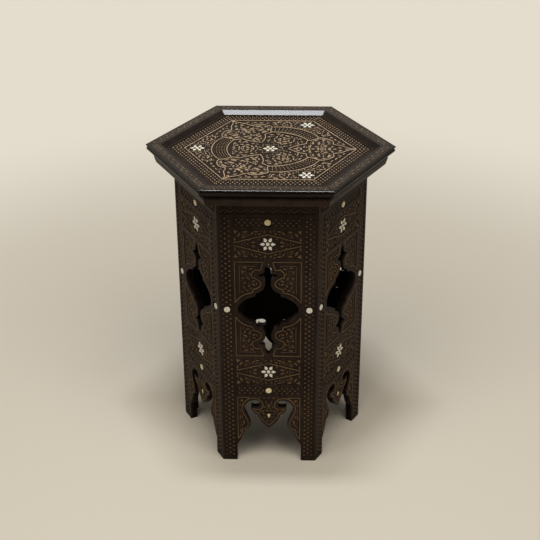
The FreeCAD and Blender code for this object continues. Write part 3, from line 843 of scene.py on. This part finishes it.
class Growth(Layout):
    """A Geometry Nodes tree that ends in plain mesh."""

    def __init__(self, name, **inputs):
        super().__init__(bpy.data.node_groups.new(name, "GeometryNodeTree"))
        sockets = self.tree.interface
        for label, kind in {"Geometry": "Geometry", **inputs}.items():
            sockets.new_socket(label, in_out="INPUT", socket_type=f"NodeSocket{kind}")
        sockets.new_socket("Geometry", in_out="OUTPUT", socket_type="NodeSocketGeometry")
        self.group = self.tree.nodes.new("NodeGroupInput")

    def given(self, label):
        """One of the tree's own inputs."""
        return Wire(self, self.group.outputs[label])

    def axis(self, name):
        """One coordinate of each point."""
        place = self.node("GeometryNodeInputPosition")
        return self.node("ShaderNodeSeparateXYZ", inputs={0: place}, output=name)

    def stored(self, name):
        """A number stored on each point."""
        return self.node("GeometryNodeInputNamedAttribute", {"data_type": "FLOAT"}, {"Name": name})

    def vector(self, **axes):
        return self.node("ShaderNodeCombineXYZ", inputs=axes)

    def finish(self, geometry):
        """Stores how high each point stands, then ends the tree in plain mesh with a material."""
        share = self.node("ShaderNodeMath", {"operation": "DIVIDE", "use_clamp": True}, {
            0: self.axis("Z"), 1: self.given("Relief")})
        plain = self.node("GeometryNodeRealizeInstances", inputs={"Geometry": geometry})
        on_points = {"data_type": "FLOAT", "domain": "POINT"}
        rubbed_tops = self.node("GeometryNodeStoreNamedAttribute", on_points, {
            "Geometry": plain, "Name": "rub", "Value": share})
        painted = self.node("GeometryNodeSetMaterial", inputs={
            "Geometry": rubbed_tops, "Material": self.given("Material")})
        self.feed(self.tree.nodes.new("NodeGroupOutput").inputs[0], painted)
        return self.tree


def stroke_tree(name):
    """Sweeps a ridge along each stroke, as wide as the stroke and no higher than the relief."""
    tree = Growth(name, Relief="Float", Material="Material")
    level = tree.node("GeometryNodeSetCurveNormal", {"mode": "Z_UP"}, {"Curve": tree.given("Geometry")})
    ridge = tree.node("GeometryNodeCurvePrimitiveCircle", inputs={"Resolution": STROKE_SIDES, "Radius": 1.0})
    width = tree.node("GeometryNodeInputRadius")
    swept = tree.node("GeometryNodeCurveToMesh", inputs={
        "Curve": level, "Profile Curve": ridge, "Scale": width, "Fill Caps": True})
    relief = tree.given("Relief")
    height = tree.number("SMOOTH_MIN", tree.axis("Z"), relief, relief * SOFT_TOP)
    pressed = tree.node("GeometryNodeSetPosition", inputs={
        "Geometry": swept, "Position": tree.vector(X=tree.axis("X"), Y=tree.axis("Y"), Z=height)})
    return tree.finish(tree.node("GeometryNodeSetShadeSmooth", inputs={
        "Geometry": pressed, "Shade Smooth": True}))


def stud_tree(name):
    """Sets a small tapered stud on each point."""
    tree = Growth(name, Sides="Int", Radius="Float", Relief="Float", Material="Material")
    radius = tree.given("Radius")
    cone = tree.node("GeometryNodeMeshCone", inputs={
        "Vertices": tree.given("Sides"), "Radius Top": radius * STUD_TAPER, "Radius Bottom": radius,
        "Depth": tree.given("Relief")})
    spin = tree.node("FunctionNodeEulerToRotation", inputs={"Euler": tree.vector(Z=tree.stored("turn"))})
    grow = tree.stored("grow")
    return tree.finish(tree.node("GeometryNodeInstanceOnPoints", inputs={
        "Points": tree.given("Geometry"), "Instance": cone, "Rotation": spin,
        "Scale": tree.vector(X=grow, Y=grow, Z=1.0)}))


def linked(name, data):
    """A new object in the scene."""
    thing = bpy.data.objects.new(name, data)
    bpy.context.scene.collection.objects.link(thing)
    return thing


def grown(data, tree, **values):
    """The plain mesh that a tree makes of some curve or point data."""
    holder = linked("holder", data)
    modifier = holder.modifiers.new("grow", "NODES")
    modifier.node_group = tree
    for item in tree.interface.items_tree:
        if item.in_out == "INPUT" and item.name in values:
            modifier[item.identifier] = values[item.name]
    bpy.context.view_layer.update()
    evaluated = holder.evaluated_get(bpy.context.evaluated_depsgraph_get())
    mesh = bpy.data.meshes.new_from_object(evaluated)
    bpy.data.objects.remove(holder)
    if not mesh.polygons:
        raise RuntimeError(f"{tree.name} made no faces")
    return mesh


def stroke_mesh(carving, relief, material):
    """The strokes of a carving as one flat mesh."""
    curve = bpy.data.curves.new("strokes", "CURVE")
    curve.dimensions = "3D"
    for points, widths, smooth, closed, height in carving.strokes:
        spline = curve.splines.new("BEZIER")
        spline.resolution_u = STROKE_STEPS if smooth else 1
        spline.use_cyclic_u = closed
        spline.bezier_points.add(len(points) - 1)
        for spot, (x, y), width in zip(spline.bezier_points, points, widths):
            sunk = max(height * relief - width * MM, FLAT_HEIGHT * relief - FLAT_SHARE * width * MM)
            spot.co = (x * MM, y * MM, min(STROKE_LIFT * width * MM, sunk))
            spot.radius = width * MM
            spot.handle_left_type = spot.handle_right_type = "AUTO" if smooth else "VECTOR"
    tree = once(bpy.data.node_groups, "raised_strokes", stroke_tree)
    return grown(curve, tree, Relief=relief, Material=material)


def stud_mesh(carving, sides, radius, relief, material):
    """The studs of a carving that have that many sides, as one flat mesh."""
    chosen = [stud for stud in carving.studs if stud[4] == sides]
    points = bpy.data.meshes.new("stud_points")
    points.from_pydata([(x * MM, y * MM, 0.0) for x, y, *_ in chosen], [], [])
    turn = points.attributes.new("turn", "FLOAT", "POINT")
    grow = points.attributes.new("grow", "FLOAT", "POINT")
    for index, stud in enumerate(chosen):
        turn.data[index].value = math.radians(stud[2])
        grow.data[index].value = stud[3]
    tree = once(bpy.data.node_groups, "cut_studs", stud_tree)
    return grown(points, tree, Sides=sides, Radius=radius, Relief=relief, Material=material)


def piece(name, mesh, slot, *nodes):
    """A finished object that rides on the body, and stands for any nodes that are named."""
    mesh.name = name
    thing = linked(name, mesh)
    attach(thing, BODY)
    if nodes:
        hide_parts(*nodes)


def put_on_sides(label, mesh, slot, *nodes):
    """Copies of a flat mesh on the sunk grounds of the sides, each standing for that side's nodes."""
    for side, angle in zip(SIDES, SIDE_TURNS):
        turn = Matrix.Rotation(math.radians(angle), 4, "Z")
        out = Matrix.Translation((0, GROUND_DEPTH - PANEL_FACE, 0))
        copy = mesh.copy()
        copy.transform(turn @ out @ Matrix.Rotation(math.radians(90), 4, "X"))
        piece(f"{label}_{side}", copy, slot, *(f"{node}_{side}" for node in nodes))


def put_on_top(label, mesh, slot, height, *nodes):
    """A flat mesh laid on the top at a height, standing for any nodes that are named."""
    mesh.transform(Matrix.Translation((0, 0, height)))
    piece(label, mesh, slot, *nodes)


def tile(mesh, outline, centre, kind):
    """Adds a small inlay to a bmesh: upright edge, eased arris and a slightly domed face."""
    middle = Vector((sum(x for x, _ in outline), sum(y for _, y in outline))) / len(outline)
    rings = []
    for share, level in TILE_RINGS:
        ring = []
        for x, y in outline:
            spot = middle + (Vector((x, y)) - middle) * share
            place = ((centre[0] + spot.x) * MM, (centre[1] + spot.y) * MM, GROUND_DEPTH * level)
            ring.append(mesh.verts.new(place))
        rings.append(ring)
    caps = [mesh.faces.new(rings[-1]), mesh.faces.new(list(reversed(rings[0])))]
    for face in caps + banded(mesh, rings):
        face.material_index = kind


def disc_outline(radius, count=24):
    return [around(radius, 360 * index / count) for index in range(count)]


def petal_outline(angle):
    """A petal with a round foot towards the eye and a point outwards."""
    turn = Matrix.Rotation(math.radians(angle), 2)
    return [tuple(turn @ Vector(spot)) for spot in PETAL]


def star_tiles(centre):
    """The tiles of a star: an outline, a middle and a kind of bone for each."""
    petals = [petal_outline(turn) for turn in SIDE_TURNS]
    return [(outline, centre, 0) for outline in [disc_outline(2.9, 16)] + petals]


def drop_outline():
    """A round head above and a point below."""
    head = [around(2.3, 200 - 220 * index / 12) for index in range(13)]
    return list(reversed([(x, y + 1.8) for x, y in head])) + [(-1.1, -1.2), (0.0, -4.6), (1.1, -1.2)]


def inlay_mesh(tiles, *materials):
    """A bone mesh of many tiles."""
    mesh = bmesh.new()
    for outline, centre, kind in tiles:
        tile(mesh, outline, centre, kind)
    return plain_mesh("inlay", mesh, *materials)


class SIDETABLE_OT_frame(bpy.types.Operator):
    """Gives the boards, rails, mouldings and framing of the table their finishes"""

    bl_idname = "side_table.frame"
    bl_label = "Finish Frame"

    def execute(self, context):
        # Each part's lacquer level is matched to the tone it shows under its light: the mouldings under the
        # rim are painted lighter, against their shade and for their sheen; the top and the rim's rails are
        # painted darker.
        upright = lacquered("lacquered_sides", (95.0, 95.0, 9.0), 0.95, shade_cut_faces=True)
        flat = lacquered("lacquered_top", (9.0, 95.0, 95.0), 0.68)
        rails = lacquered("lacquered_rails", (60.0, 60.0, 60.0), 0.52, polished=True)
        mouldings = lacquered("lacquered_mouldings", (60.0, 60.0, 60.0), 1.5)
        framing = framing_finish("stained_framing")
        iron = iron_finish("nail_iron")
        chosen = {
            "side_panel": upright, "rim_rail": rails, "apron_moulding": mouldings, "top_board": flat,
            "top_cleat": framing, "corner_block": framing, "board_nails": iron, "panel_nails": iron,
        }
        for name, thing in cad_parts.items():
            for start, material in chosen.items():
                if name.startswith(start):
                    thing.data.materials.clear()
                    thing.data.materials.append(material)
        return {"FINISHED"}


class SIDETABLE_OT_panel_carving(bpy.types.Operator):
    """Carves the outlines, scrolls and leaves of the six sides"""

    bl_idname = "side_table.panel_carving"
    bl_label = "Carve Sides"

    def execute(self, context):
        chosen = sizes()
        carving = panel_carving(chosen.line / MM, chosen.stem / MM)
        material = once(bpy.data.materials, "rubbed_sides", rubbed, list(colours().rubbed))
        put_on_sides("scrollwork", stroke_mesh(carving, chosen.relief, material), "carved_wood")
        return {"FINISHED"}


class SIDETABLE_OT_panel_borders(bpy.types.Operator):
    """Cuts the triangles and dots of the six sides"""

    bl_idname = "side_table.panel_borders"
    bl_label = "Cut Side Borders"

    def execute(self, context):
        chosen = sizes()
        borders = panel_borders(chosen.strip_pitch / MM, chosen.band_pitch / MM)
        # The star fields have triangles of their own.
        borders.take(panel_carving(chosen.line / MM, chosen.stem / MM))
        material = once(bpy.data.materials, "rubbed_sides", rubbed, list(colours().rubbed))
        for label, sides in (("border_triangles", TRIANGLE), ("border_dots", DOT)):
            mesh = stud_mesh(borders, sides, chosen.strip_stud, chosen.relief, material)
            put_on_sides(label, mesh, "carved_wood")
        return {"FINISHED"}


class SIDETABLE_OT_top_carving(bpy.types.Operator):
    """Carves the arabesque and the borders of the top"""

    bl_idname = "side_table.top_carving"
    bl_label = "Carve Top"

    def execute(self, context):
        chosen = sizes()
        material = rubbed("rubbed_top", list(colours().rubbed_top))
        ground = BOARD_FACE - GROUND_DEPTH
        carving = top_carving(chosen.line / MM, chosen.stem / MM)
        put_on_top("top_scrollwork", stroke_mesh(carving, chosen.relief, material), "carved_wood", ground)
        borders = top_borders()
        for label, sides in (("top_triangles", TRIANGLE), ("top_dots", DOT)):
            mesh = stud_mesh(borders, sides, chosen.strip_stud, chosen.relief, material)
            put_on_top(label, mesh, "carved_wood", ground)
        return {"FINISHED"}


class SIDETABLE_OT_rim_carving(bpy.types.Operator):
    """Carves the vine along the rim"""

    bl_idname = "side_table.rim_carving"
    bl_label = "Carve Rim"

    def execute(self, context):
        material = rubbed("rubbed_rim", list(colours().rubbed_rim))
        mesh = stroke_mesh(rim_carving(), sizes().rim_relief, material)
        put_on_top("rim_vine", mesh, "carved_wood", RIM_FACE)
        edge = rim_edge(bpy.data.materials["lacquered_rails"])
        put_on_top("rim_edge", edge, "carved_wood", RIM_FACE)
        return {"FINISHED"}


class SIDETABLE_OT_inlay(bpy.types.Operator):
    """Sets the bone stars, discs and drops"""

    bl_idname = "side_table.inlay"
    bl_label = "Set Bone Inlay"

    def execute(self, context):
        bone = bone_finish("polished_bone", list(colours().bone))
        old_bone = bone_finish("old_bone", list(colours().old_bone))
        stars = [star for height in STAR_HEIGHTS for star in star_tiles((0, height))]
        discs = [(disc_outline(DISC_RADIUS), spot, int(spot[0] == 0)) for spot in DISC_SPOTS]
        drop = [(drop_outline(), (0, DROP_HEIGHT), 1)]
        for label, node, tiles in (
                ("bone_stars", "star_inlay", stars), ("bone_discs", "disc_inlay", discs),
                ("bone_drop", "drop_inlay", drop)):
            put_on_sides(label, inlay_mesh(tiles, bone, old_bone), "bone", node)
        spots = [(0, 0)] + [around(TOP_STAR_RADIUS, turn) for turn in TOP_STAR_TURNS]
        flat = inlay_mesh([star for spot in spots for star in star_tiles(spot)], bone, old_bone)
        put_on_top("bone_stars_top", flat, "bone", BOARD_FACE - GROUND_DEPTH, "top_star_inlay")
        return {"FINISHED"}


def area_light(name, power, size, place, target, colour):
    """A rectangular light at a place, facing a target."""
    light = bpy.data.lights.new(name, "AREA")
    light.shape = "RECTANGLE"
    light.size = size[0]
    light.size_y = size[1]
    light.energy = power
    light.color = colour
    thing = linked(name, light)
    thing.location = place
    thing.rotation_euler = (Vector(target) - Vector(place)).to_track_quat("-Z", "Y").to_euler()


def seen_rays(finish):
    """One for rays that show the background: camera, mirror and glass rays."""
    camera, mirror, glass = (
        finish.node("ShaderNodeLightPath", output=f"Is {kind} Ray")
        for kind in ("Camera", "Glossy", "Transmission"))
    return camera + mirror + glass


def floor_finish(name):
    """A pale floor that keeps the shadow near the table and fades into the backdrop far out."""
    finish = Finish(name)
    pale = list(colours().backdrop)
    finish.surface(Base_Color=pale, Roughness=0.6, Specular_IOR_Level=0.2)
    reach = finish.node("ShaderNodeVectorMath", {"operation": "LENGTH"}, {0: finish.place()}, output="Value")
    far = finish.node("ShaderNodeMapRange", {"interpolation_type": "SMOOTHSTEP"}, {
        "Value": reach, "From Min": FLOOR_FADE[0], "From Max": FLOOR_FADE[1]})
    return finish.end("Material Output", finish.node("ShaderNodeMixShader", inputs={
        0: far * seen_rays(finish),
        1: Wire(finish, finish.tree.nodes["Principled BSDF"].outputs[0]),
        2: finish.node("ShaderNodeEmission", inputs={"Color": pale, "Strength": 1.0}),
    }))


def pale_floor():
    """A wide round floor under the table."""
    ground = bmesh.new()
    bmesh.ops.create_circle(ground, cap_ends=True, radius=FLOOR_RADIUS, segments=64)
    mesh = bpy.data.meshes.new("floor")
    ground.to_mesh(mesh)
    ground.free()
    mesh.materials.append(floor_finish("pale_floor"))
    return linked("floor", mesh)


def pale_world(ambient):
    """The pale backdrop where it is seen, and a softer light from all around."""
    finish = Finish("pale_studio", "worlds")
    pale = list(colours().backdrop)
    return finish.end("World Output", finish.node("ShaderNodeMixShader", inputs={
        0: seen_rays(finish),
        1: finish.node("ShaderNodeBackground", inputs={"Color": WARM, "Strength": ambient}),
        2: finish.node("ShaderNodeBackground", inputs={"Color": pale, "Strength": 1.0}),
    }))


def front_camera(lens):
    """The camera in front of the table, looking down on it."""
    data = bpy.data.cameras.new("camera")
    data.lens = lens
    data.sensor_width = SENSOR_WIDTH
    data.clip_start = 0.05
    camera = linked("camera", data)
    camera.location = CAMERA_PLACE
    pitch, yaw, roll = (math.radians(angle) for angle in CAMERA_TURNS)
    aim = Matrix.Rotation(yaw, 3, "Z") @ Matrix.Rotation(math.pi / 2 - pitch, 3, "X")
    camera.rotation_euler = (aim @ Matrix.Rotation(roll, 3, "Z")).to_euler()
    return camera


class SIDETABLE_OT_stage(bpy.types.Operator):
    """Sets up the floor, the lights and the camera"""

    bl_idname = "side_table.stage"
    bl_label = "Set Stage"

    def execute(self, context):
        scene = context.scene
        chosen = scene.side_table_stage
        scene.view_settings.view_transform = "Standard"
        floor = pale_floor()
        scene.world = pale_world(chosen.ambient)
        across, *place = SIDE_LIGHT_PLACE
        for name, side in (("left_light", -1), ("right_light", 1)):
            spot = (side * across, *place)
            area_light(name, chosen.side_power, SIDE_LIGHT_SIZE, spot, SIDE_LIGHT_TARGET, WARM)
        area_light(
            "overhead_light", chosen.overhead_power, OVERHEAD_SIZE, OVERHEAD_PLACE, OVERHEAD_TARGET, COOL)
        scene.camera = front_camera(chosen.lens)
        return {"FINISHED"}


class SIDETABLE_PT_pieces(bpy.types.Panel):
    """Lists the pieces of the table and their sizes and colours"""

    bl_idname = "SIDETABLE_PT_pieces"
    bl_label = "Carved Side Table"
    bl_space_type = "VIEW_3D"
    bl_region_type = "UI"
    bl_category = "Side Table"

    def draw(self, context):
        layout = self.layout
        for operator in OPERATORS:
            layout.operator(operator.bl_idname)
        for name in GROUPS:
            group = getattr(context.scene, name)
            for key in group.__annotations__:
                layout.prop(group, key)


OPERATORS = (
    SIDETABLE_OT_frame, SIDETABLE_OT_panel_carving, SIDETABLE_OT_panel_borders,
    SIDETABLE_OT_top_carving, SIDETABLE_OT_rim_carving, SIDETABLE_OT_inlay, SIDETABLE_OT_stage,
)
GROUPS = {
    "side_table_sizes": CarvingSizes, "side_table_colours": FinishColours, "side_table_stage": StageSizes,
}
CLASSES = (*GROUPS.values(), *OPERATORS, SIDETABLE_PT_pieces)


def register():
    for each in CLASSES:
        bpy.utils.register_class(each)
    for name, group in GROUPS.items():
        setattr(bpy.types.Scene, name, bpy.props.PointerProperty(type=group))


def unregister():
    for name in GROUPS:
        delattr(bpy.types.Scene, name)
    for each in reversed(CLASSES):
        bpy.utils.unregister_class(each)


def main():
    register()
    for operator in OPERATORS:
        group, name = operator.bl_idname.split(".")
        getattr(getattr(bpy.ops, group), name)()


if __name__ == "__main__":
    main()
